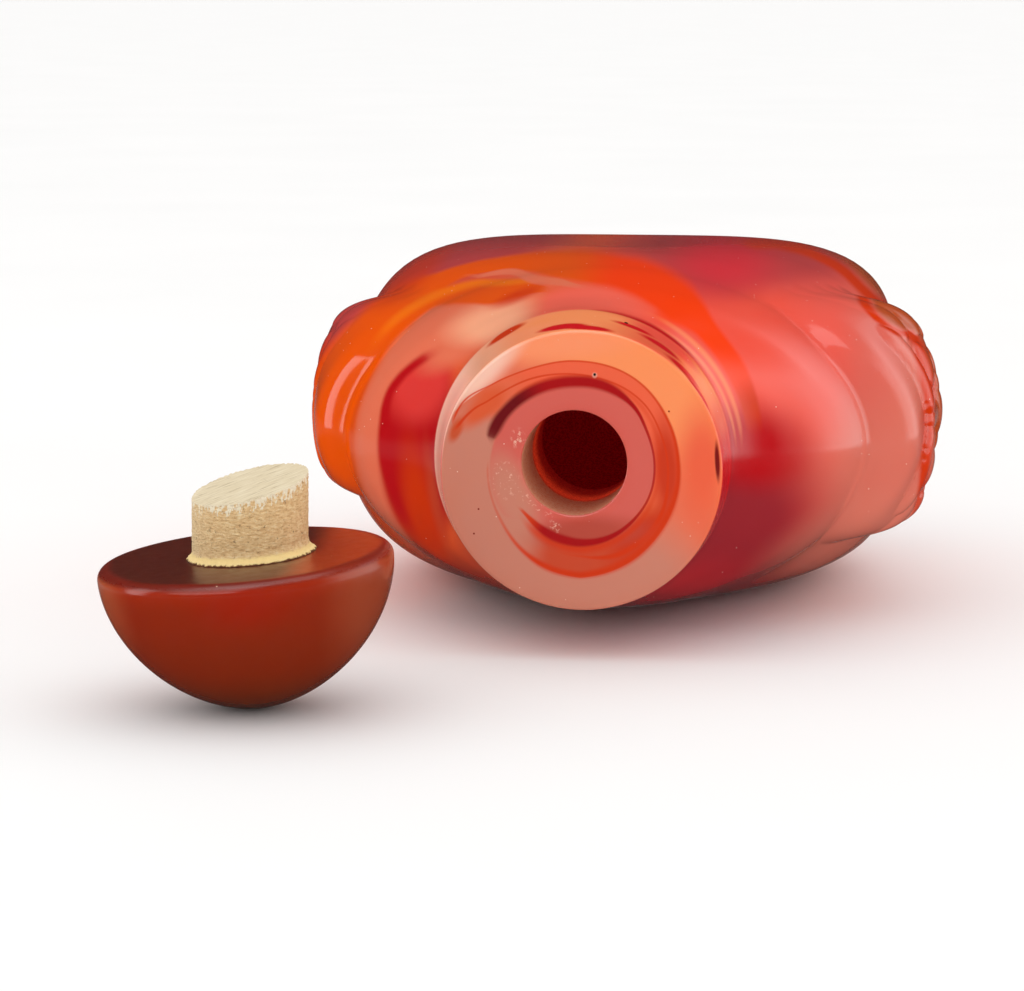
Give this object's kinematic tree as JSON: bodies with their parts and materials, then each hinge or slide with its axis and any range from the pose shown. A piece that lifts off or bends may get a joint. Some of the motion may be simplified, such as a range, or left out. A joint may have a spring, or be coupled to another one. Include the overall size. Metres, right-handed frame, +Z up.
{
  "type": "snuff bottle",
  "caption": "Carved agate snuff bottle with lion masks and rings on its shoulders, lying on a broad face, its domed stopper and cork set down beside it.",
  "frame": {"origin": "on the floor, under the middle of the box round the bottle and its stopper", "axes": "-Y the way the bottle's mouth points, +X to the right seen from in front of the mouth, +Z up"},
  "size_m": [0.0504, 0.0812, 0.0249],
  "materials": {
    "banded_agate": "polished, translucent",
    "dark_agate": "polished",
    "cork": "cut, fibrous"
  },
  "bodies": {
    "root": {"bottle": "banded_agate", "stopper_cap": "dark_agate", "stopper_cork": "cork"}
  },
  "joints": []
}
